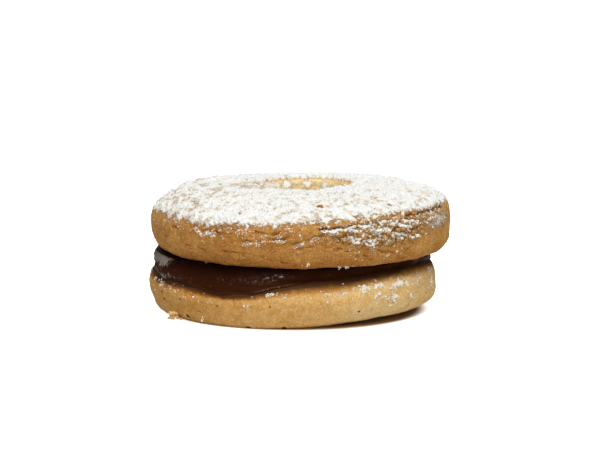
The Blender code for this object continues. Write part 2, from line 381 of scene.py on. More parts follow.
def make_mesh(name, points, quads, triangles, fields=None):
    """One mesh object from a point array in mm, arrays of corners, and named point values."""
    mesh = bpy.data.meshes.new(name)
    mesh.vertices.add(len(points))
    mesh.vertices.foreach_set("co", (points * MM).astype(np.float32).ravel())
    corners = np.concatenate([quads.ravel(), triangles.ravel()])
    starts = np.concatenate(
        [np.arange(len(quads)) * 4, len(quads) * 4 + np.arange(len(triangles)) * 3]
    )
    mesh.loops.add(len(corners))
    mesh.loops.foreach_set("vertex_index", corners.astype(np.int32))
    mesh.polygons.add(len(starts))
    mesh.polygons.foreach_set("loop_start", starts.astype(np.int32))
    mesh.update(calc_edges=True)
    mesh.validate()
    mesh.shade_smooth()
    for field, values in (fields or {}).items():
        layer = mesh.attributes.new(field, "FLOAT", "POINT")
        layer.data.foreach_set("value", values.astype(np.float32).ravel())
    return in_scene(name, mesh)


def in_scene(name, data):
    """A new object in the scene."""
    made = bpy.data.objects.new(name, data)
    bpy.context.scene.collection.objects.link(made)
    return made


def grid_quads(rows, columns, closed):
    """Corners of the quads of a grid whose columns close on themselves, and its rows if closed."""
    i = np.arange(rows if closed else rows - 1)[:, None]
    j = np.arange(columns)[None]
    near, far = i * columns, (i + 1) % rows * columns
    nxt = (j + 1) % columns
    return np.stack([near + j, far + j, far + nxt, near + nxt], axis=-1).reshape(-1, 4)


def ring_mesh(name, grid, fields):
    """A grid closed both ways, like a tyre."""
    quads = grid_quads(*grid.shape[:2], closed=True)
    return make_mesh(name, grid.reshape(-1, 3), quads, np.empty((0, 3), int), fields)


def capped_mesh(name, grid, fields):
    """A grid whose first and last rows are each gathered into one point, with a fan round it."""
    rows, columns = grid.shape[:2]
    inner = grid[1:-1].reshape(-1, 3)
    points = np.concatenate([inner, grid[[0, -1]].mean(axis=1)])
    j = np.arange(columns)
    nxt = (j + 1) % columns
    last = (rows - 3) * columns
    over = np.stack([np.full(columns, len(inner)), j, nxt], axis=-1)
    under = np.stack([last + j, np.full(columns, len(inner) + 1), last + nxt], axis=-1)
    gathered = {
        field: np.concatenate([values[1:-1].ravel(), values[[0, -1]].mean(axis=1)])
        for field, values in fields.items()
    }
    quads = grid_quads(rows - 2, columns, closed=False)
    return make_mesh(name, points, quads, np.concatenate([over, under]), gathered)


def shares(**values):
    """Named values for a mesh, each kept within 0..1."""
    return {name: np.clip(value, 0, 1) for name, value in values.items()}


# ---- the ring biscuit

# Cracks in the ring's side: azimuth and height at each end, depth, and how much sugar its lower
# edge caught.  The long ones lift the sugared crust off the side at the front right.
RING_CRACKS = (
    (276.5, 7.8, 291, 8.15, 0.95, 1), (290, 8.3, 304, 8.6, 0.55, 0.45), (313, 8.85, 353, 8.95, 0.75, 0.2),
    (288.5, 6, 299, 4.3, 0.35, 1), (305.5, 6.5, 313.5, 5.8, 0.45, 1), (309.5, 7.9, 315.5, 7.1, 0.45, 1),
    (314, 8.2, 321, 7.7, 0.4, 0.9), (300.5, 6.4, 306.5, 5, 0.4, 0.9), (314.5, 5.6, 322, 4.8, 0.35, 0.75),
    (296, 7.6, 306, 7.2, 0.5, 0.8), (266, 5.2, 280, 6.9, 0.25, 0.85), (268, 4.2, 276, 4.9, 0.2, 0.45),
    (225, 7.6, 243, 7.2, 0.25, 0.7), (247, 5.5, 268, 6.6, 0.3, 0.8), (252, 7.5, 264, 7.3, 0.3, 0.6),
    (239.5, 3.5, 247, 3.1, 0.28, 0), (228, 3.6, 233, 3.2, 0.22, 0), (213, 7, 221, 7.2, 0.3, 0),
    (262, 1.7, 267, 1.6, 0.26, 0.1), (290, 2.6, 297, 2.5, 0.2, 0.5), (282, 4.1, 290, 3.5, 0.22, 0.3),
    (299, 3.2, 309, 2.6, 0.22, 0.4), (20, 8.6, 47, 8.1, 0.65, 0.7), (30, 6.1, 41, 5.3, 0.4, 0.9),
    (58, 6, 74, 6.6, 0.3, 0.6), (95, 8.2, 128, 8.9, 0.6, 0.7), (104, 6.3, 115, 5.4, 0.4, 0.9),
    (140, 5.6, 152, 5.1, 0.28, 0.5), (163, 7.8, 176, 7.4, 0.3, 0.4),
)

# Where the side has crumbled: amount, azimuth, width in degrees, height and width across.
CRUMBLED = (
    (1.0, 302, 19, 6.7, 2.3), (0.5, 329, 12, 7.6, 1.5), (0.8, 38, 16, 6.6, 1.8), (0.7, 112, 15, 6.8, 1.9),
)

# Small bare pits in the sugar: azimuth, radius and half-width.
RING_PITS = (
    (279, 24.1, 0.66), (213, 25.2, 0.26), (244.6, 26.6, 0.34), (312, 22.6, 0.26), (311.5, 25.9, 0.3),
    (303, 18.6, 0.28), (35, 21, 0.35), (120, 23, 0.3), (160, 17, 0.3),
)


class RingPlaces:
    """The grid of an outline turned into the ring: where each point is on the outline, its smooth
    place and normal, and its shares of the outer half, side, underside and hole's wall."""

    def __init__(self, line, columns, closed):
        self.radius, self.height, self.azimuth = on_grid(line, columns)
        self.smooth = ring_shape(self.radius, self.height, self.azimuth)
        self.normal = outward(self.smooth, closed)
        self.up = self.normal[..., 2]
        self.outer = ease(self.radius, 20, 26)
        self.side = self.outer * ease(self.height, 0.3, 1.6) * fall(self.height, 9.2, 10.2)
        self.below = ease(-self.up, 0.6, 0.95)
        self.in_hole = fall(self.radius, 9.5, 10.6) * fall(self.height, 11.9, 12.95)

    def moved(self, distance):
        """The points moved out along their normals by a distance in mm."""
        return self.smooth + self.normal * distance[..., None]


def sugar_edge(azimuth):
    """Height on the ring's outline down to which the sugar lies: half a millimetre more at the
    front right, two tongues at the front left, and a three-lobed sine at the back."""
    front = humps(azimuth, (0.5, 312, 48), (-0.75, 232, 8), (-0.5, 254, 11))
    return SUGAR_LINE + front + 0.4 * np.cos(3 * azimuth) * ease(np.sin(azimuth), -0.1, 0.4)


def crack_lines(at):
    """The cut in mm and the share of sugar on the lower edge of every crack.  A crack is a straight
    line in azimuth and height with a wobble of noise: the cut is a narrow bell across it that
    fades at both ends, and the sugar a bell just below it."""
    degrees = np.degrees(at.azimuth) % 360
    wobble = noises(at.smooth, (0.34, 1.6, 5), (0.3, 0.7, 6))
    breaks = ease(noise(at.smooth, 1.3, 8), -0.75, 0.0)
    lace = 0.25 + 0.75 * ease(noise(at.smooth, 0.75, 9), -0.35, 0.25)
    cut = caught = np.zeros(degrees.shape)
    for start, low, end, high, depth, sugar in RING_CRACKS:
        share = (degrees - start) / (end - start)
        fade = ease(share, 0, 0.12) * fall(share, 0.85, 1)
        away = at.height - (low + (high - low) * np.clip(share, 0, 1)) - wobble
        cut = np.maximum(cut, depth * fade * breaks * bell(away, 0, 0.15 + 0.12 * depth))
        caught = np.maximum(caught, sugar * fade * bell(away, -0.5, 0.22 + 0.28 * sugar))
    return cut * at.side, caught * lace * at.side


def crumbled(at):
    """The crumbled places' relief in mm, gaps and roughness.  Grains of two sizes lie packed, pulled
    about by noise: each is a cone with a height of its own, and a gap runs where two seeds are
    about as near."""
    rough = [ovals(at.azimuth, at.height, oval) for oval in CRUMBLED]
    rough = np.clip(1.5 * np.maximum.reduce(rough), 0, 1) * at.side
    pull = np.stack([noise(at.smooth, 1.1, salt) for salt in (71, 72, 73)], axis=-1)
    pulled = at.smooth + 0.25 * pull
    near, second, name = lumps(pulled, (1.1, 1.1, 0.85), 16)
    small_near, small_second, _ = lumps(pulled, 0.52, 17)
    pebbles = (0.6 - near) * 0.8 + 0.5 * (name - 0.5) + 0.35 * (0.5 - small_near)
    gaps = np.maximum(fall(second - near, 0.03, 0.2), 0.6 - ease(small_second - small_near, 0.0, 0.3))
    return 0.5 * rough * (pebbles - gaps), gaps, rough


def swollen(at):
    """Slow swellings of the crust in mm: two sizes of noise, less a hollow in the shoulder at the
    left and a low place in the hole's front lip."""
    left = ovals(at.azimuth, at.radius, (0.5, 172, 22, 26.6, 2.4)) * ease(at.height, 8.0, 10.5)
    front = ovals(at.azimuth, at.radius, (0.35, 268, 42, 10.8, 2.2)) * ease(at.height, 11.0, 12.8)
    return 0.16 * fractal(at.smooth, 6.0, 2, 11) + 0.07 * fractal(at.smooth, 1.9, 2, 12) - left - front


def sugar_cover(at):
    """How surely sugar lies at each point, with its parts by the ragged edge and on the hole's wall:
    on the side the height above the edge, roughened by three noises; on top how far the crust
    faces up; on the wall patches of noise at the back left and three clumps."""
    edge = at.height - sugar_edge(at.azimuth)
    edge = edge + noises(at.smooth, (0.42, 1.3, 21), (0.55, 0.58, 22), (0.45, 0.33, 24))
    ragged = 0.5 + humps(at.azimuth, (0.5, 255, 30), (0.35, 300, 16), (0.4, 212, 22))
    on_side = ease(edge, -ragged, ragged)
    wall = hump(at.azimuth, 152, 30) * (0.72 + 0.9 * noise(at.smooth, 1.1, 23))
    wall = wall + 0.3 * ease(noise(at.smooth, (2.2, 2.2, 1.2), 23), 0.1, 0.6)
    clumps = humps(at.azimuth, (0.85, 85, 5.5), (0.85, 64, 4), (0.85, 113, 6))
    wall = np.clip(wall + clumps * bell(at.height, 11.3, 0.65), 0, 1.05) * ease(at.height, 7.0, 11.0)
    on_top = ease(at.up, 0.15, 0.7) * (1 - at.in_hole) + wall * at.in_hole
    cover = (on_side * at.outer + on_top * (1 - at.outer)) * (1 - at.below)
    return cover, on_side, wall


def sugar_pits(smooth, wider=1.0):
    """1 in the middle of each small pit of RING_PITS, made wider by a factor, and 0 outside it,
    with a wobbly rim."""
    pits = np.zeros(smooth.shape[:-1])
    line = coat_outline()[COAT_ROWS[0]:]
    wobble = 0.18 * noise(smooth, 0.4, 29)
    for centre, out, half in RING_PITS:
        height = np.interp(out, line[:, 0], line[:, 1])
        there = ring_shape(out, height, math.radians(centre))
        gap = np.linalg.norm(smooth - there, axis=-1) + wobble
        pits = np.maximum(pits, fall(gap, half * 0.75 * wider, half * 1.25 * wider))
    return pits


def sugar_depth(at, cover, on_side, ledges, pits):
    """The sugar's depth in mm, below 0 where there is none, and how much sugar there may be.

    It steps up where the cover or a ledge has sugar, is thinner in patches at the left, bumpy and
    hollowed by noises over place and over azimuth and radius, calmer behind the hole, heaped on
    the hole's right lip, broken up along the edge into bare spots and islands, and gone in pits.
    """
    far = hump(at.azimuth, 88, 50)
    patches = ease(fractal(at.smooth, 3.0, 2, 36), -0.35, 0.55)
    thin = 0.03 + humps(at.azimuth, (0.09, 150, 45), (0.08, 200, 25)) * (0.35 + patches) + 0.05 * patches
    spokes = turned(SPOKE_RADIUS, at.azimuth, at.radius)
    bumps = noises(at.smooth, (0.17, 0.9, 32), (0.1, 0.52, 33))
    bumps = bumps + 0.18 * noise(spokes, (1.5, 1.5, 1.7), 28)
    hollows = ease(noise(spokes, (0.8, 0.8, 1.0), 30), 0.22, 0.5)
    hollows = hollows * ease(noise(at.smooth, 3.0, 31), -0.9, 0.2)
    uneven = (bumps - 0.25 * hollows) * (1 - 0.5 * far)
    heap = ovals(at.azimuth, at.radius, (0.3, 305, 13, 10.3, 1.5))
    crease = ovals(at.azimuth, at.radius, (0.9, 222, 11, 10.9, 0.6))
    bare = bell(on_side, 0.72, 0.2) * ease(noise(at.smooth, 0.48, 37), -0.25, 0.35)
    islands = bell(on_side, 0.3, 0.18) * ease(noise(at.smooth, 0.45, 38), 0.05, 0.45)
    amount = np.maximum(cover * (1 - crease), ledges)
    depth = COAT_STEP * (amount - 0.5) - thin * (1 - 0.8 * far) * cover
    depth = depth + (uneven + heap) * ease(amount, 0.1, 0.6)
    depth = depth + (0.16 * islands - 0.2 * bare) * at.outer * (1 - at.below)
    return depth - 0.6 * pits - 0.3 * fall(amount, 0.0, 0.25), amount


def fallen_specks(at, caught, rough):
    """The share of the side that lone specks of sugar cover: most just below the sugar's edge,
    where it halves about every millimetre, along sugared cracks and in the crumbled places."""
    drop = sugar_edge(at.azimuth) - at.height
    under_edge = ease(drop, 0.0, 0.6) * np.exp(-np.maximum(drop, 0) / 1.5) * ease(at.height, 0.5, 5.5)
    specks = under_edge * at.side * (0.3 + humps(at.azimuth, (0.6, 236, 38), (0.4, 312, 34)))
    specks = specks + 0.6 * ease(caught, 0.05, 0.5) + 0.3 * rough
    lone = (0.01 + 0.06 * hump(at.azimuth, 298, 22)) * at.side * ease(at.height, 0.5, 3)
    return specks * ease(noise(at.smooth, 1.8, 27), -0.5, 0.3) + lone


def ring_crust(line, columns, closed):
    """The crust under an outline turned about Z, and how much sugar lies on it.

    The smooth ring moves along its normal by slow swellings, sandy grain, cracks and crumbled
    places.  Sugar covers all above a ragged line, and below it the ledges that face up.  Returns
    the places, the relief and the sugar's depth in mm, and the values that the material reads.
    """
    at = RingPlaces(line, columns, closed)
    cut, caught = crack_lines(at)
    crumbs, gaps, rough = crumbled(at)
    ridged = 1 - np.abs(noise(at.smooth, (3.4, 3.4, 0.95), 14))
    fine_cracks = ease(ridged, 0.93, 0.995) * ease(noise(at.smooth, 3.2, 15), -0.15, 0.45) * at.side
    bed = swollen(at) + crumbs + CAUGHT_RISE * caught - cut
    grain = 0.07 * fractal(at.smooth, 0.62, 2, 13, 0.7) * (1 - 0.5 * at.below)

    cover, on_side, wall = sugar_cover(at)
    facing = outward(at.moved(bed), closed)[..., 2]
    clumped = ease(noises(at.smooth, (1.0, 1.5, 26), (0.5, 0.6, 35)), -0.45, 0.2)
    ledges = (1.2 * caught + 0.88 * rough) * clumped * ease(facing - 0.25 * at.up, 0.02, 0.34)
    pits = sugar_pits(at.smooth)
    depth, amount = sugar_depth(at, cover, on_side, ledges, pits)

    dust = ovals(at.azimuth, at.height, (0.5, 336, 15, 6.9, 1.9)) * at.side
    dusting = np.maximum.reduce([0.5 * cover * (1 - at.in_hole) - 0.7 * pits, 0.6 * ledges, dust])
    # Cracks and crumbled gaps darkened as painted shade in the recesses; pits darkened where bare crust
    # shows, with painted shade in them too.
    deep = np.clip(cut / 0.35 + 0.75 * fine_cracks + 1.3 * rough * gaps, 0, 1)
    # Browning as baked, with painted light in it: paler at the far left and far right, where less light
    # reaches, and much paler in the hole, partly for the same reason.
    toast = 0.64 + humps(at.azimuth, (0.08, 240, 35), (-0.08, 350, 30), (-0.1, 180, 28))
    toast = toast + 0.1 * fractal(at.smooth, 6.0, 3, 33) - 0.7 * at.in_hole + 0.08 * pits
    toast = toast + 0.08 * (bell(at.height, 0.8, 1.4) + ease(cover, 0, 0.5)) * at.outer
    values = shares(
        sugar=np.maximum(dusting, at.in_hole * (0.12 + 0.7 * wall)),
        specks=fallen_specks(at, caught, rough),
        deep=np.maximum(deep * (1 - 0.5 * np.clip(amount, 0, 1)), 0.6 * pits),
        toast=toast,
        glow=at.in_hole,
        rough=rough,
    )
    return at, bed + grain - 0.16 * fine_cracks, depth, values


def ring_biscuit():
    """The ring biscuit's crust, closed both ways; returns it with its grid, values and sugar."""
    at, relief, depth, values = ring_crust(ring_outline(), COLUMNS, True)
    grid = stood(at.moved(relief), RING_PLACE, RING_LEAN) + SHIFT
    return ring_mesh("ring_biscuit", grid, values), grid, values, depth


def sugar_coat():
    """The icing sugar on the ring as one closed shell.

    Its outside is the crust moved out along the normal by the sugar's depth, which sinks it below
    the crust where there is none; its underside is a few rows well inside the biscuit.
    """
    line = coat_outline()
    at, relief, depth, _ = ring_crust(line, COAT_COLUMNS, False)
    row = np.arange(len(line))[:, None]
    last = len(line) - 1
    ends = ease(row, 0, 2) * fall(row, last - 2, last)
    sunk = np.clip(depth, -COAT_SUNK, 0.6) * ends - COAT_SUNK * (1 - ends)
    back = np.array([last - 1, last - 14, last - 34, last - 52, COAT_ROWS[0] + 6, 3])
    inside = at.smooth[back] - COAT_BACKING * at.normal[back]
    grid = stood(np.concatenate([at.moved(relief + sunk), inside]), RING_PLACE, RING_LEAN) + SHIFT
    lying = np.concatenate([np.clip(depth, 0, 0.4), np.zeros((len(back), COAT_COLUMNS))])
    holding = np.clip(depth, 0, 0.3) * (1 - sugar_pits(at.smooth, 1.7))
    return ring_mesh("sugar_coat", grid, {"lying": lying}), grid[: len(line)], holding


# ---- the whole biscuit below

# Sugar that fell on the lower biscuit: azimuth, height, half-widths in mm, tilt in mm of height
# for each mm along, and amount.
BASE_DUST = (
    (284.9, 6.5, 1.5, 0.35, 0, 0.7), (290, 6.35, 1.4, 0.42, 0, 0.95), (294, 6.65, 0.9, 0.36, 0.15, 0.66),
    (299.2, 6.85, 2, 0.68, 0.14, 0.95), (305.9, 6.9, 1.2, 0.65, 0.1, 0.95),
    (315.8, 6.6, 2.7, 0.68, 0.06, 1.1), (320.8, 6.15, 1.2, 0.65, -0.25, 0.95),
    (304.8, 5.25, 1.2, 0.4, 0.9, 0.82), (307.4, 5.05, 0.9, 0.55, 0.6, 0.62),
    (313, 4.35, 1.6, 1.05, 0, 0.74), (322.5, 4.3, 1.3, 0.45, -0.9, 0.66), (329, 6.5, 1.8, 0.7, 0, 0.46),
    (343, 5.4, 2.4, 1.8, 0, 0.38), (267.5, 6.6, 0.5, 0.28, 0, 0.7), (262, 6.95, 0.9, 0.3, 0.1, 0.8),
    (252, 4.9, 0.4, 0.25, 0, 0.6), (236, 5.3, 0.4, 0.25, 0, 0.5), (228.7, 5.8, 0.6, 0.3, 0.5, 0.52),
    (223, 5.6, 1.3, 0.35, -0.15, 0.42), (217, 6.3, 0.6, 0.3, 0, 0.46), (213, 6.55, 0.8, 0.36, 0, 0.48),
    (207, 6.8, 1.8, 0.5, -0.1, 0.38), (197, 6.9, 1.6, 0.5, 0, 0.46), (186, 7.6, 3, 0.6, 0, 0.36),
    (8, 6.9, 3.5, 0.8, 0, 0.46), (40, 7.2, 3, 0.7, 0.1, 0.9), (62, 5.4, 1.5, 0.9, 0.3, 0.7),
    (84, 6.8, 4, 0.8, 0, 0.8), (128, 7.3, 3, 0.7, -0.1, 0.85), (146, 5.2, 1.3, 0.7, 0.2, 0.6),
    (160, 6.6, 2.5, 0.6, 0, 0.65),
)

# Dark specks of vanilla and toasted bran in the lower biscuit: azimuth, height and half-width.
BASE_SPECKS = (
    (207.5, 5.35, 0.24), (208.8, 4.2, 0.32), (221, 4.9, 0.22), (223.3, 1.75, 0.46), (252, 0.8, 0.6),
    (261.5, 4.6, 0.17), (266.5, 0.7, 0.45), (231, 3.1, 0.18), (240, 4.5, 0.18), (297, 2.6, 0.2),
    (336, 3.3, 0.2), (25, 3.6, 0.28), (71, 4.9, 0.24), (118, 2.6, 0.3), (151, 4.2, 0.22),
)


def filling_reach(azimuth):
    """How far the filling spreads down the lower biscuit's shoulder: 0 at its top, 1 at its widest."""
    return SPREAD + humps(azimuth, (0.48, 246.5, 20), (0.31, 205, 26), (0.33, 6, 26), (0.15, 105, 35))


def spot_distance(azimuth, height, centre, level, tilt=0.0):
    """How far round the rim, and how far up, points of the lower biscuit's side are from a place, in
    mm.  The place's own line climbs by the tilt for each mm round the rim."""
    away = (np.degrees(azimuth) - centre + 180) % 360 - 180
    along = np.radians(away) * BASE_RADIUS
    return along, height - level - tilt * along


def fallen_sugar(azimuth, height, smooth):
    """The share of sugar in the ovals of BASE_DUST: each is broken up by two noises."""
    sugar = np.zeros_like(height)
    broken = noises(smooth, (1.0, 0.75, 47), (0.6, 0.38, 51))
    for centre, level, wide, tall, tilt, amount in BASE_DUST:
        along, above = spot_distance(azimuth, height, centre, level, tilt)
        inside = 1.05 - np.hypot(along / wide, above / tall) + broken
        sugar = np.maximum(sugar, 0.55 * amount * ease(inside, -0.1, 0.9))
    return sugar


def bran_specks(azimuth, height):
    """1 in the middle of each dark speck of BASE_SPECKS, falling to 0 outside it."""
    bran = np.zeros_like(height)
    for centre, level, half in BASE_SPECKS:
        along, above = spot_distance(azimuth, height, centre, level)
        bran = np.maximum(bran, fall(np.hypot(along, above * 1.3), 0.5 * half, 1.3 * half))
    return bran


def base_biscuit():
    """The lower biscuit: smoother than the ring, paler on the right and, as painted light, paler low on
    its side.  Below the filling it has a brown grease mark, darkened further by painted shade from the
    filling and the ring above.  It has fallen sugar, a few dark specks, and creases and pores darkened
    by painted shade.  The smooth shape moves along its normal by swellings, grain, shallow cracks,
    specks and the sugar's thickness; below z = 0 it is flat."""
    line = outline(base_knots(), BASE_ROWS)
    radius, height, azimuth = on_grid(line)
    smooth = base_shape(radius, height, azimuth)
    row = np.broadcast_to(np.arange(len(line))[:, None], radius.shape)
    shoulder = (row - BASE_ROWS[0]) / BASE_ROWS[1]
    outer = ease(radius, 18, 22)
    under = ease(row, BASE_ROWS[0] + BASE_ROWS[1] + 0.6 * BASE_ROWS[2], sum(BASE_ROWS[:3]))

    swelling = 0.15 * fractal(smooth, 7.0, 2, 41) + 0.07 * fractal(smooth, 2.2, 2, 42)
    ridged = 1 - np.abs(noise(smooth, (4.2, 4.2, 1.3), 44))
    creases = ease(ridged, 0.94, 0.995) * ease(noise(smooth, 3.0, 45), 0.1, 0.5) * outer * (1 - under)
    pores = ease(noise(smooth, 0.5, 46), 0.62, 0.8) * outer
    bran = bran_specks(azimuth, height)

    reach = filling_reach(azimuth)
    covered = reach - shoulder + 0.03 * noise(smooth, 0.9, 49)
    # A brown band below the filling's edge, widest where the filling reaches least: partly a grease mark,
    # partly painted shade under the filling and the ring's overhang.
    soaked = 0.76 * (1 - np.clip(reach, 0, 0.9)) * (1 + humps(azimuth, (-0.22, 325, 25), (0.14, 286, 15)))
    stain = np.clip(1 + covered / soaked, 0, 1) * outer
    powder = 0.13 * ease(noise(smooth, 0.5, 48), 0.2, 0.6) * bell(shoulder, 0.75, 0.4)
    sugar = np.maximum(fallen_sugar(azimuth, height, smooth), powder) * (shoulder > 0) * (shoulder < 1.7)
    sugar = np.clip(sugar, 0, 1) * fall(covered, -0.45 * soaked, -0.2 * soaked)
    specks = (0.02 + 0.35 * sugar) * bell(shoulder, 0.85, 0.5) * outer

    relief = swelling + 0.048 * fractal(smooth, 0.6, 2, 43, 0.7)
    relief = relief - 0.12 * creases - 0.05 * pores + 0.15 * sugar - 0.08 * bran
    moved = smooth + outward(smooth, closed=False) * relief[..., None]
    grid = stood(moved, BASE_PLACE, BASE_LEAN) + SHIFT
    grid[..., 2] = np.maximum(grid[..., 2], 0.0)

    toast = 0.385 - 0.21 * np.cos(azimuth - math.radians(342)) + 0.09 * fractal(smooth, 8.0, 3, 50)
    # Paler low on the side: painted light, standing in for light thrown up from the floor; browner
    # underneath.
    toast = toast - 0.1 * bell(height, 1.2, 1.5) * outer + 0.3 * under
    values = shares(
        sugar=sugar,
        specks=specks + ovals(azimuth, shoulder, (0.12, 215, 28, 0.9, 0.3)),
        # Creases and pores darkened as painted shade; the bran specks are dark of themselves.
        deep=np.clip(0.4 * creases + 0.4 * pores + 1.4 * bran, 0, 1) * (1 - sugar),
        toast=toast + humps(azimuth, (-0.1, 195, 30), (0.13, 238, 32)),
        stain=np.maximum(stain * (1 - 0.15 * hump(azimuth, 325, 32)), 0.95 * bran),
    )
    return capped_mesh("whole_biscuit", grid, values), grid, values


# ---- the chocolate filling

def chocolate_shape(azimuth):
    """The filling's smooth shape, whose section changes round the rim: rows of points.

    In each section a line runs out under the ring's underside, a Bezier curve bulges down the
    side, and the last line follows the lower biscuit's crust back in.
    """
    over, down, flat, spread = FILLING_ROWS
    knots = base_knots()
    reach = filling_reach(azimuth) + 0.015 * np.sin(23 * azimuth) + 0.02 * np.sin(11 * azimuth + 1)
    level = span(knots[0], knots[1], np.full((COLUMNS, flat), np.arange(flat) / flat))
    falling = span(knots[1], knots[2], reach[:, None] * np.arange(spread + 1) / spread)
    crust = np.concatenate([level, falling], axis=1)
    along = np.gradient(crust, axis=1)
    along /= np.linalg.norm(along, axis=-1, keepdims=True)
    lower = crust - BITE * np.stack([-along[..., 1], along[..., 0]], axis=-1)
    lower[..., 1] += shoulder_rise(crust[..., 0], crust[..., 1], azimuth[:, None])

    edge = FILLING_EDGE + 0.6 * hump(azimuth, 190, 30)
    radius = edge[:, None] * np.arange(1, over + 1) / over
    middle = RING_PLACE[2] - BASE_PLACE[2] + BITE
    slope = math.tan(BASE_LEAN) - math.tan(RING_LEAN)
    upper = np.stack([radius, middle - slope * radius * np.cos(azimuth)[:, None]], axis=-1)

    start, end = upper[:, -1:], lower[:, -1:]
    first = start + np.array((FILLING_BULGE, -0.1))
    second = end + np.array((0.75 * FILLING_BULGE, 0.65))
    flank = bezier(start, first, second, end, (np.arange(1, down) / down)[None, :, None])
    section = np.concatenate([upper, flank, lower[:, ::-1]], axis=1).transpose(1, 0, 2)
    grid = turned(section[..., 0] * (1 + wave(azimuth, 2.3)), azimuth, section[..., 1])
    return np.concatenate([np.zeros((1, COLUMNS, 3)) + (0.0, 0.0, middle), grid])


def chocolate():
    """The filling: its shape with a low dome in the hole, and a side that moves out and in by
    smooth noise drawn out round the rim, as a spread layer is, by two rounded lobes with a crease
    between them at the left, by a fold, a lip along its lower edge, a low ridge and knobs."""
    azimuth = np.arange(COLUMNS) * 2 * math.pi / COLUMNS
    grid = chocolate_shape(azimuth)
    row = np.broadcast_to(np.arange(len(grid))[:, None], grid.shape[:2])
    share = np.clip((row - FILLING_ROWS[0]) / FILLING_ROWS[1], 0, 1)
    azimuth = np.broadcast_to(azimuth, grid.shape[:2])

    hole = np.array((RING_PLACE[0] + HOLE_SHIFT - BASE_PLACE[0], 0.0))
    near = np.linalg.norm(grid[..., :2] - hole, axis=-1) / HOLE_RADIUS
    inside = fall(near, 0.0, 1.0) * (row <= FILLING_ROWS[0])
    grid[..., 2] += inside * HOLE_DOME + 0.35 * inside * noise(grid, (5, 2.4, 3), 60)

    exposed = ease(share, 0.0, 0.1) * fall(share, 0.88, 1.0)
    drawn_out = turned(DRAG_RADIUS, azimuth, 1.3 * grid[..., 2])
    moved = 0.17 * fractal(drawn_out, 1.5, 2, 61) + 0.05 * noise(drawn_out, 0.55, 62)
    moved = moved + ovals(azimuth, share, (0.05, 186, 13, 0.36, 0.24), (0.45, 207, 13, 0.66, 0.2))
    moved = moved - ovals(azimuth, share, (0.55, 198, 3.5, 0.5, 0.35), (0.35, 187, 12, 0.58, 0.08))
    fold = bell(np.degrees(azimuth), 221.98 + 9 * (share - 0.6), 1.6) * bell(share, 0.75, 0.18)
    lip = bell(share, 0.9, 0.05) * (hump(azimuth, 264, 9) + 0.3)
    ridge = bell(share, 0.55 + 0.08 * np.sin(5 * azimuth), 0.06) * hump(azimuth, 255, 13)
    knobs = ease(noise(grid, 1.1, 63), 0.35, 0.8) * hump(azimuth, 205, 25)
    moved = moved + 0.3 * fold + 0.26 * lip + 0.16 * ridge + 0.15 * knobs
    grid = grid + outward(grid, closed=False) * (moved * exposed)[..., None]

    streaky = ease(fractal(grid, (1.2, 1.2, 3.0), 3, 64, 0.7), -0.45, 0.65)
    # Grey dust, most at the left bulge, where the grey is partly a painted sheen.
    dusty = 1.15 * hump(azimuth, 202, 9) * fall(share, 0.32, 0.62)
    dusty = dusty + 0.5 * hump(azimuth, 193, 8) * fall(share, 0.4, 0.8)
    dusty = dusty + humps(azimuth, (0.6, 186, 6), (0.42, 357, 12), (0.38, 70, 20))
    dusty = dusty + ovals(azimuth, share, (0.6, 208, 13, 0.78, 0.16))
    scattered = 0.42 * ease(noise(grid, 0.42, 66), 0.52, 0.75) * bell(share, 0.62, 0.25)
    dusty = (dusty * (0.42 + 0.58 * streaky) + scattered) * exposed
    shine = ovals(azimuth, share, (1.3, 265, 8, 0.91, 0.04), (1.0, 261, 4.5, 0.5, 0.09))
    shine = shine + ovals(azimuth, share, (0.6, 250, 4, 0.48, 0.06), (0.6, 242, 2, 0.48, 0.06))
    values = shares(
        dusty=dusty + 0.42 * ease(noise(grid, 2.6, 65), -0.4, 0.5) * inside,
        edge=ease(share, 0.7, 1.0),
        # Nearly black towards the top: painted shade under the ring.
        open=ease(share, 0.1, 0.75),
        shine=np.clip(shine, 0, 1) * exposed,
        # How strongly the grey shows: most at the left bulge, where it is partly a painted sheen.
        veil=0.3 + 0.2 * hump(azimuth, 203, 10),
    )
    return capped_mesh("chocolate_layer", stood(grid, BASE_PLACE, BASE_LEAN) + SHIFT, values)


# ---- scattered grains

def twelve_points():
    """An icosahedron's corners and faces: the three golden rectangles, joined all round."""
    golden = (1 + 5**0.5) / 2
    rectangle = [(x, y, 0) for y in (golden, -golden) for x in (-1, 1)]
    corners = np.array([np.roll(corner, axis) for axis in range(3) for corner in rectangle])
    faces = np.array(
        [(0, 11, 5), (0, 5, 1), (0, 1, 7), (0, 7, 10), (0, 10, 11), (1, 5, 9), (5, 11, 4),
         (11, 10, 2), (10, 7, 6), (7, 1, 8), (3, 9, 4), (3, 4, 2), (3, 2, 6), (3, 6, 8),
         (3, 8, 9), (4, 9, 5), (2, 4, 11), (6, 2, 10), (8, 6, 7), (9, 8, 1)]
    )
    return corners / np.linalg.norm(corners[0]), faces


def turned_any_way(draw, count):
    """Random rotations as matrices, from unit quaternions of four bell-curve draws."""
    q = draw.normal(size=(4, count))
    w, x, y, z = q / np.linalg.norm(q, axis=0)
    rows = [
        [1 - 2 * (y * y + z * z), 2 * (x * y - w * z), 2 * (x * z + w * y)],
        [2 * (x * y + w * z), 1 - 2 * (x * x + z * z), 2 * (y * z - w * x)],
        [2 * (x * z - w * y), 2 * (y * z + w * x), 1 - 2 * (x * x + y * y)],
    ]
    return np.array(rows).transpose(2, 0, 1)


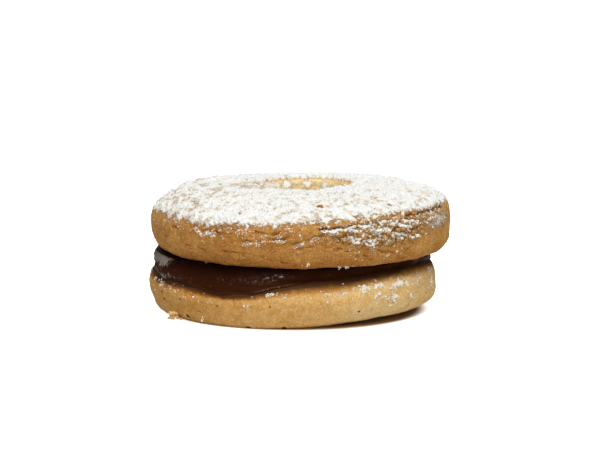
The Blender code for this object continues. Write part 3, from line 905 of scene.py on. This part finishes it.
def grains(name, places, sizes, flatness, draw, uneven=0.25):
    """Small lumps: an icosahedron for each, its corners pulled about, squashed, turned and sized."""
    corners, faces = twelve_points()
    count = len(places)
    pulled = corners * (1 + uneven * draw.uniform(-1, 1, (count, len(corners), 1)))
    stretch = np.stack([*draw.uniform(0.8, 1.25, (2, count)), np.full(count, flatness)], -1)
    local = np.einsum("nij,nkj->nki", turned_any_way(draw, count), pulled * stretch[:, None])
    points = places[:, None] + local * sizes[:, None, None]
    every = faces[None] + (np.arange(count) * len(corners))[:, None, None]
    return make_mesh(name, points.reshape(-1, 3), np.empty((0, 4), int), every.reshape(-1, 3))


def scatter(grid, weight, count, draw):
    """Random places on a grid, as likely as the weight times the area of the cell they are in."""
    along = grid[1:] - grid[:-1]
    around = np.roll(grid, -1, axis=1) - grid
    area = np.linalg.norm(np.cross(along, around[:-1]), axis=-1)
    chance = (area * weight[:-1]).ravel()
    cell = draw.choice(chance.size, size=count, p=chance / chance.sum())
    i, j = np.unravel_index(cell, area.shape)
    u, v = draw.uniform(size=(2, count, 1))
    return grid[i, j] + u * along[i, j] + v * around[i, j]


# Crumbs that broke off: place, half-width of the little heap in mm, and how many lumps.
GOLDEN_HEAPS = (
    (-24.9, -17, 0.62, 0.85, 11), (-23.6, -16.8, 0.4, 0.55, 4), (21.8, 13, 0.45, 0.6, 6),
    (-16, 19.5, 0.3, 0.45, 4),
)
SUGARED_HEAPS = (
    (-18.7, -22, 1.1, 0.34, 5), (1.7, -28.5, 12.9, 0.36, 7), (0.6, -28.5, 12.7, 0.24, 3),
    (7.6, -26.4, 12, 0.36, 6), (9, -26, 12, 0.34, 6), (10.2, -25.7, 12.2, 0.26, 4),
    (-18.1, -19.6, 11.8, 0.24, 3),
)


def broken_off(heaps, draw):
    """Lumps gathered round the places of some heaps by bell-curve draws; centres and sizes."""
    heaps = np.array(heaps)
    which = np.repeat(np.arange(len(heaps)), heaps[:, 4].astype(int))
    spread = heaps[which, 3:4]
    places = heaps[which, :3] + 0.55 * spread * draw.normal(size=(len(which), 3))
    sizes = spread[:, 0] * draw.uniform(0.4, 0.75, len(which))
    places[:, 2] = np.maximum(places[:, 2], 1.3 * sizes)
    return places, sizes


# ---- node helpers

def join(value, socket):
    """Links a value that is a socket, or stores one that is a number, vector or colour."""
    if isinstance(value, bpy.types.NodeSocket):
        socket.id_data.links.new(value, socket)
    else:
        socket.default_value = value


def feed(node, **values):
    """Sets a node's inputs, by name with _ for a space, and its properties; returns the node."""
    for key, value in values.items():
        title = key.replace("_", " ")
        if title in node.inputs:
            join(value, node.inputs[title])
        else:
            setattr(node, key, value)
    return node


def add_node(tree, kind, **values):
    """A new shader node, fed in the order given."""
    return feed(tree.nodes.new("ShaderNode" + kind), **values)


def maths(operation):
    """A function that adds a maths node of one kind to the tree of its first argument, which is a
    socket; the second is a socket or a number."""

    def add(a, b):
        node = add_node(a.id_data, "Math", operation=operation)
        join(a, node.inputs[0])
        join(b, node.inputs[1])
        return node.outputs[0]

    return add


plus, minus, times = maths("ADD"), maths("SUBTRACT"), maths("MULTIPLY")
less_than, larger = maths("LESS_THAN"), maths("MAXIMUM")


def weighed(a, share, b, other):
    """Two sockets added up, each times its own number."""
    return plus(times(a, share), times(b, other))


def mix(factor, a, b, blend="MIX"):
    """A colour mix node; each of the three is a socket or a value, and the factor or a is a socket."""
    known = factor if isinstance(factor, bpy.types.NodeSocket) else a
    node = add_node(known.id_data, "Mix", data_type="RGBA", blend_type=blend)
    for slot, value in ((0, factor), (6, a), (7, b)):
        join(value, node.inputs[slot])
    return node.outputs[2]


def ramp(value, low, high):
    """0 below low and 1 above high, smooth between: a map range node."""
    node = add_node(value.id_data, "MapRange", interpolation_type="SMOOTHSTEP", Value=value)
    return feed(node, From_Min=low, From_Max=high).outputs["Result"]


def own_place(tree):
    """The piece's own coordinates, in metres."""
    return add_node(tree, "TexCoord").outputs["Object"]


def speckle(tree, size, detail=2.0, roughness=0.6):
    """Noise over the piece's own coordinates, with spots about size mm wide."""
    node = add_node(tree, "TexNoise", Scale=1 / (size * MM), Detail=detail, Roughness=roughness)
    return feed(node, Vector=own_place(tree)).outputs["Fac"]


def field(tree, name):
    """A point value stored on the piece."""
    return add_node(tree, "Attribute", attribute_name=name).outputs["Fac"]


def new_group(name, inputs, outputs, kind="Float"):
    """An empty node group: number inputs with their defaults by name, and outputs of one kind.
    Returns it with what it is given and its output node."""
    tree = bpy.data.node_groups.new(name, "ShaderNodeTree")
    for title, default in inputs.items():
        socket = tree.interface.new_socket(title, in_out="INPUT", socket_type="NodeSocketFloat")
        socket.default_value = default
    for title in outputs:
        tree.interface.new_socket(title, in_out="OUTPUT", socket_type="NodeSocket" + kind)
    return tree, tree.nodes.new("NodeGroupInput").outputs, tree.nodes.new("NodeGroupOutput")


def grouped(tree, group, **values):
    """A group as a node, with sockets or numbers for its inputs; returns its outputs."""
    return add_node(tree, "Group", node_tree=group, **values).outputs


def crumb_grain_group():
    """Shortbread's sandy crumb: fine grain, softer mottling, and a height for the bump."""
    tree, _, out = new_group("crumb_grain", {}, ("Grain", "Mottle", "Height"))
    grain = weighed(speckle(tree, 0.34, 2.0, 0.65), 0.65, speckle(tree, 0.12, 1.0, 0.5), 0.35)
    mottle = ramp(speckle(tree, 1.5, 3.0, 0.6), 0.3, 0.7)
    feed(out, Grain=ramp(grain, 0.32, 0.68), Mottle=mottle, Height=grain)
    return tree


def browning_group():
    """The colour of baked shortbread: cream at 0, golden half-way, brown at 1."""
    tree, given, out = new_group("browning", {"Toast": 0.5}, ["Colour"], "Color")
    scale = add_node(tree, "ValToRGB", Fac=given["Toast"])
    stops = scale.color_ramp.elements
    stops[0].position, stops[0].color = BAKED[0][0], (*BAKED[0][1], 1.0)
    stops[1].position, stops[1].color = BAKED[-1][0], (*BAKED[-1][1], 1.0)
    for place, colour in BAKED[1:-1]:
        stops.new(place).color = (*colour, 1.0)
    feed(out, Colour=scale.outputs["Color"])
    return tree


def sugar_dust_group():
    """Icing sugar over a crumb: the stored amount, broken up by grain, becomes a mask and, where it
    is high, a thickness.  Round specks of random sizes fill the given share of small cells."""
    given_names = {"Amount": 0.5, "Break": 0.5, "Specks": 0.0}
    tree, given, out = new_group("sugar_dust", given_names, ("Mask", "Thick", "Height"))
    both = weighed(speckle(tree, 0.2, 2.0, 0.7), 0.5, speckle(tree, 0.7, 3.0, 0.65), 0.5)
    level = plus(given["Amount"], times(minus(both, 0.5), given["Break"]))
    cells = add_node(tree, "TexVoronoi", Vector=own_place(tree), Scale=1 / (0.36 * MM), Randomness=1.0)
    chance = add_node(tree, "SeparateColor", Color=cells.outputs["Color"]).outputs
    size = plus(times(chance["Green"], 0.28), 0.16)
    dot = ramp(minus(size, cells.outputs["Distance"]), -0.04, 0.06)
    dot = times(dot, less_than(chance["Red"], given["Specks"]))
    mask = larger(ramp(level, 0.22, 0.5), dot)
    feed(out, Mask=mask, Thick=ramp(level, 0.34, 0.7), Height=both)
    return tree


# Shortbread's colour from the palest crumb to the brownest crust, by share of browning.
BAKED = (
    (0.00, (0.83, 0.655, 0.345)),
    (0.25, (0.755, 0.5, 0.2)),
    (0.5, (0.645, 0.352, 0.098)),
    (0.75, (0.5, 0.226, 0.049)),
    (1.00, (0.28, 0.105, 0.022)),
)

CRUMB_GRAIN = crumb_grain_group()
BROWNING = browning_group()
SUGAR_DUST = sugar_dust_group()

SUGAR_WHITE = (0.94, 0.945, 0.92, 1.0)
SUGAR_CREAM = (0.83, 0.74, 0.6, 1.0)
SUGAR_THIN = (0.47, 0.32, 0.18, 1.0)
SUGAR_FALLEN = (0.95, 0.92, 0.85, 1.0)
SUGAR_GREY = (0.56, 0.49, 0.46, 1.0)
GRAIN_DARK = (0.66, 0.58, 0.48, 1.0)
GRAIN_LIGHT = (1.32, 1.37, 1.46, 1.0)
# Colours of the band below the filling: a grease mark that also paints the shade there.
STAIN_EDGE = (0.8, 0.58, 0.32, 1.0)
STAIN_DEEP = (0.05, 0.016, 0.003, 1.0)
# Painted shade in cracks, gaps, pits and pores.
CRACK_BROWN = (0.12, 0.045, 0.012, 1.0)


def new_material(name, **values):
    """A material with a Principled shader, fed with values; returns it, its tree and the shader."""
    made = bpy.data.materials.new(name)
    made.use_nodes = True
    tree = made.node_tree
    return made, tree, feed(tree.nodes["Principled BSDF"], **values)


def bump(height, distance, strength):
    """Normals bent by a height, in a bump node; the distance is in mm."""
    node = add_node(height.id_data, "Bump", Height=height, Distance=distance * MM, Strength=strength)
    return node.outputs["Normal"]


def biscuit_material(name, sandy, stained=False):
    """Baked shortbread: browned as stored, where the stored browning holds some painted light too, with
    sandy grain, cracks and pores darkened by painted shade, and sugar over it all.  Below the filling
    the lower biscuit gets a brown grease mark and painted shade.  The ring's hole has a painted glow,
    which stands in for its pale walls lighting each other."""
    made, tree, shader = new_material(name, Roughness=0.85, Specular_IOR_Level=0.2)
    crumb = grouped(tree, CRUMB_GRAIN)
    mottle = times(minus(crumb["Mottle"], 0.5), 0.16)
    colour = grouped(tree, BROWNING, Toast=plus(field(tree, "toast"), mottle))["Colour"]
    dark = mix(sandy, colour, GRAIN_DARK, "MULTIPLY")
    light = mix(sandy, colour, GRAIN_LIGHT, "MULTIPLY")
    colour = mix(crumb["Grain"], dark, light)
    # A brown grease mark below the filling, darkened further as painted shade.
    if stained:
        tinted = mix(1.0, colour, STAIN_EDGE, "MULTIPLY")
        colour = mix(ramp(field(tree, "stain"), 0.0, 0.45), colour, tinted)
        soaked = times(ramp(field(tree, "stain"), 0.06, 0.72), 0.95)
        colour = mix(soaked, colour, STAIN_DEEP)
    # Cracks and pores darkened: painted shade.
    colour = mix(times(field(tree, "deep"), 0.85), colour, CRACK_BROWN)
    stored = {"Amount": field(tree, "sugar"), "Specks": field(tree, "specks")}
    dust = grouped(tree, SUGAR_DUST, Break=1.9, **stored)
    white = mix(dust["Thick"], SUGAR_CREAM, SUGAR_FALLEN)
    colour = mix(dust["Mask"], colour, white)
    if not stained:
        # A painted glow in the ring's hole, standing in for light between its walls.
        glow = times(field(tree, "glow"), 0.21)
        feed(shader, Emission_Color=colour, Emission_Strength=glow)
    lying = times(dust["Mask"], plus(dust["Height"], 0.3))
    height = weighed(crumb["Height"], 0.5, lying, 1.1)
    feed(shader, Base_Color=colour, Normal=bump(height, 0.25, 0.9))
    return made


def coat_material():
    """A thick coat of icing sugar: white where it lies deep, cream and then the crust's beige
    where it thins out, with a powdery bump."""
    made, tree, shader = new_material("sugar_coat", Roughness=1.0, Specular_IOR_Level=0.15)
    uneven = times(minus(speckle(tree, 0.35, 2.0, 0.7), 0.5), 0.2)
    level = plus(field(tree, "lying"), uneven)
    colour = mix(ramp(level, -0.02, 0.08), SUGAR_THIN, SUGAR_CREAM)
    colour = mix(ramp(level, 0.04, 0.19), colour, SUGAR_WHITE)
    feed(shader, Base_Color=colour, Normal=bump(speckle(tree, 0.22, 3.0, 0.7), 0.16, 0.9))
    return made


def chocolate_material():
    """Soft dark chocolate: nearly matt with shiny places, nearly black at the top, where painted shade
    stands for the ring's shadow, warmer where it thins out, and grey where dust is stored, with a
    painted sheen in that grey at the left bulge."""
    made, tree, shader = new_material("chocolate_cream", Specular_IOR_Level=0.03)
    soft = speckle(tree, 2.2, 3.0, 0.6)
    colour = mix(soft, (0.03, 0.0072, 0.002, 1.0), (0.046, 0.0122, 0.0035, 1.0))
    # Nearly black towards the top: painted shade under the ring.
    colour = mix(field(tree, "open"), (0.009, 0.0012, 0.0003, 1.0), colour)
    thin = times(ramp(field(tree, "edge"), 0.2, 1.0), 0.5)
    colour = mix(thin, colour, (0.1, 0.033, 0.007, 1.0))
    dust = grouped(tree, SUGAR_DUST, Amount=field(tree, "dusty"), Break=1.1)
    # Grey dust, and a painted sheen at the left bulge.
    colour = mix(times(dust["Mask"], field(tree, "veil")), colour, SUGAR_GREY)
    uneven = plus(times(soft, 0.28), 0.26)
    roughness = plus(uneven, times(dust["Mask"], 0.4))
    height = weighed(speckle(tree, 0.7, 2.0), 0.6, dust["Mask"], 0.2)
    feed(shader, Base_Color=colour, Roughness=roughness, Normal=bump(height, 0.18, 0.5))
    wet = times(field(tree, "shine"), ramp(speckle(tree, 0.55, 2.0, 0.6), 0.46, 0.66))
    feed(shader, Coat_Weight=wet, Coat_Roughness=0.15, Coat_IOR=2.3)
    return made


def sugar_material(name, dark, light):
    """Icing sugar in lumps: fully matt, uneven in tone between the two given."""
    made, tree, shader = new_material(name, Roughness=1.0, Specular_IOR_Level=0.15)
    tone = mix(ramp(speckle(tree, 0.5), 0.35, 0.6), dark, light)
    feed(shader, Base_Color=tone, Normal=bump(speckle(tree, 0.1), 0.06, 0.8))
    return made


def crumb_material(name, dark, light):
    """A loose crumb: the biscuit's own grain between two tones."""
    made, tree, shader = new_material(name, Roughness=0.85)
    crumb = grouped(tree, CRUMB_GRAIN)
    tone = mix(crumb["Grain"], dark, light)
    feed(shader, Base_Color=tone, Normal=bump(crumb["Height"], 0.15, 0.8))
    return made


# ---- the cookie

def finish_piece(piece, material, slot, *nodes):
    """Material, body and the CAD nodes that a piece stands for.  The slot is not used."""
    piece.data.materials.append(material)
    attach(piece, "root")
    if nodes:
        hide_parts(*nodes)


def build_cookie():
    """Both biscuits, the filling, the sugar coat, and the loose grains and crumbs on them."""
    draw = np.random.default_rng(71)
    ring_material = biscuit_material("ring_crust", 0.85)
    base_material = biscuit_material("whole_crust", 0.6, stained=True)
    sugar = sugar_material("icing_sugar", (0.87, 0.86, 0.825, 1.0), (0.95, 0.955, 0.935, 1.0))
    cream = sugar_material("sugared_crumb", (0.86, 0.76, 0.58, 1.0), (0.97, 0.94, 0.87, 1.0))
    golden = crumb_material("golden_crumb", (0.33, 0.155, 0.042, 1.0), (0.72, 0.43, 0.15, 1.0))
    pale = crumb_material("pale_crumb", (0.58, 0.33, 0.1, 1.0), (0.92, 0.62, 0.25, 1.0))

    ring, ring_grid, ring_values, ring_depth = ring_biscuit()
    finish_piece(ring, ring_material, "top_biscuit", "top_biscuit")
    base, base_grid, base_values = base_biscuit()
    finish_piece(base, base_material, "bottom_biscuit", "bottom_biscuit")
    finish_piece(chocolate(), chocolate_material(), "chocolate", "chocolate_filling")
    coat, coat_grid, coat_depth = sugar_coat()
    finish_piece(coat, coat_material(), "icing_sugar")

    def strewn(name, grid, weight, count, middle, largest, material, slot, sunk=0.0):
        """Lumps strewn on a grid by weight, of the given middle and largest half-widths in mm,
        lowered by a share of their sizes and kept under HIGHEST."""
        places = scatter(grid, weight, count, draw)
        sizes = np.clip(draw.lognormal(math.log(middle), 0.4, count), 0.4 * middle, largest)
        places[:, 2] = np.minimum(places[:, 2] - sunk * sizes, HIGHEST - 1.2 * sizes)
        finish_piece(grains(name, places, sizes, 0.75, draw), material, slot)

    near_edge = ring_values["specks"] ** 2 * (ring_depth < 0)
    on_ledges = ring_values["rough"] ** 2 * (ring_depth > 0)
    in_gaps = ring_values["rough"] ** 2 * (ring_depth < 0)
    _, height, azimuth = on_grid(coat_outline(), COAT_COLUMNS)
    well_in = ease(height - sugar_edge(azimuth), 0.2, 1.6) + 0.15
    deep_enough = np.clip(coat_depth - 0.04, 0, 0.18) ** 1.6 * well_in * (1 - 0.5 * hump(azimuth, 88, 50))
    strewn("sugar_lumps", coat_grid, deep_enough, 5600, 0.23, 0.4, sugar, "icing_sugar", 0.25)
    strewn("sugar_on_coat", coat_grid, coat_depth, 5000, 0.11, 0.26, sugar, "icing_sugar")
    strewn("sugar_on_side", ring_grid, near_edge, 2200, 0.1, 0.26, cream, "icing_sugar")
    strewn("sugar_on_cracks", ring_grid, on_ledges, 950, 0.16, 0.36, cream, "icing_sugar")
    strewn("crumbs_in_cracks", ring_grid, in_gaps, 700, 0.26, 0.5, golden, "top_biscuit")
    strewn("sugar_on_base", base_grid, base_values["sugar"] ** 2, 2000, 0.11, 0.28, cream, "icing_sugar")
    kinds = (("golden_heaps", GOLDEN_HEAPS, pale), ("sugared_heaps", SUGARED_HEAPS, cream))
    for name, heaps, material in kinds:
        piece = grains(name, *broken_off(heaps, draw), 0.85, draw, 0.3)
        finish_piece(piece, material, "bottom_biscuit")


build_cookie()


# ---- floor, light and camera

def plain_floor():
    """A wide white floor.  The camera sees it pure white but for a narrow brownish shade round the
    foot, and it lights the cookie as a grey one does, so that the undersides stay dark."""
    half = 6.0
    corners = [(-half, -half, 0), (half, -half, 0), (half, half, 0), (-half, half, 0)]
    mesh = bpy.data.meshes.new("floor")
    mesh.from_pydata(corners, [], [(0, 1, 2, 3)])
    floor = in_scene("floor", mesh)
    made, tree, shader = new_material("pale_floor", Roughness=0.9, Specular_IOR_Level=0.0)
    away = add_node(tree, "VectorMath", operation="DISTANCE")
    join(own_place(tree), away.inputs[0])
    join((-0.7 * MM, -2.6 * MM, 0.0), away.inputs[1])
    clear = ramp(away.outputs["Value"], 23.8 * MM, 27.2 * MM)
    seen = add_node(tree, "LightPath").outputs["Is Camera Ray"]
    shade = mix(clear, (0.42, 0.28, 0.17, 1.0), (0.95, 0.95, 0.95, 1.0))
    glow = mix(clear, (1.0, 0.83, 0.68, 1.0), (1.0, 1.0, 1.0, 1.0))
    feed(shader, Base_Color=mix(seen, (0.7, 0.65, 0.58, 1.0), shade))
    feed(shader, Emission_Color=glow, Emission_Strength=times(seen, clear))
    mesh.materials.append(made)


def soft_sun(name, azimuth, elevation, strength, spread):
    """A light from far off, in degrees round from +X and up from the floor, spread over a disc of
    sky that many degrees wide, as a big soft box is."""
    lamp = bpy.data.lights.new(name, "SUN")
    lamp.energy = strength
    lamp.angle = math.radians(spread)
    lit = in_scene(name, lamp)
    lit.rotation_euler = (math.radians(90 - elevation), 0, math.radians(azimuth + 90))


def studio():
    """Dim surroundings, a strong soft light high in front and a weak one low in front."""
    world = bpy.data.worlds.new("studio")
    world.use_nodes = True
    tree = world.node_tree
    seen = add_node(tree, "LightPath").outputs["Is Camera Ray"]
    strength = plus(times(seen, 0.79), 0.21)
    feed(tree.nodes["Background"], Color=(1.0, 1.0, 1.0, 1.0), Strength=strength)
    bpy.context.scene.world = world
    soft_sun("high_front", -80.0, 63.0, 2.22, 26.0)
    soft_sun("low_front", -90.0, 20.0, 0.74, 60.0)
    bpy.context.scene.view_settings.view_transform = "Standard"


def camera():
    """A long lens 520 mm in front of the cookie and 8.6 degrees above its middle, aimed so that
    the cookie sits a little below the middle of the picture."""
    distance, elevation = 0.52, math.radians(8.6)
    seen_width, sensor, raised = 0.1205, 36.0, math.radians(0.42)
    low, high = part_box("top_biscuit")
    target = np.array(((low[0] + high[0]) / 2 - 0.0001, 0.0, 0.0125))
    back = np.array((0.0, -math.cos(elevation), math.sin(elevation)))
    lens = bpy.data.cameras.new("camera")
    lens.sensor_width = sensor
    lens.lens = sensor * distance / seen_width
    seer = in_scene("camera", lens)
    seer.location = target + distance * back
    seer.rotation_euler = (math.pi / 2 - elevation + raised, 0.0, 0.0)
    bpy.context.scene.camera = seer


plain_floor()
studio()
camera()
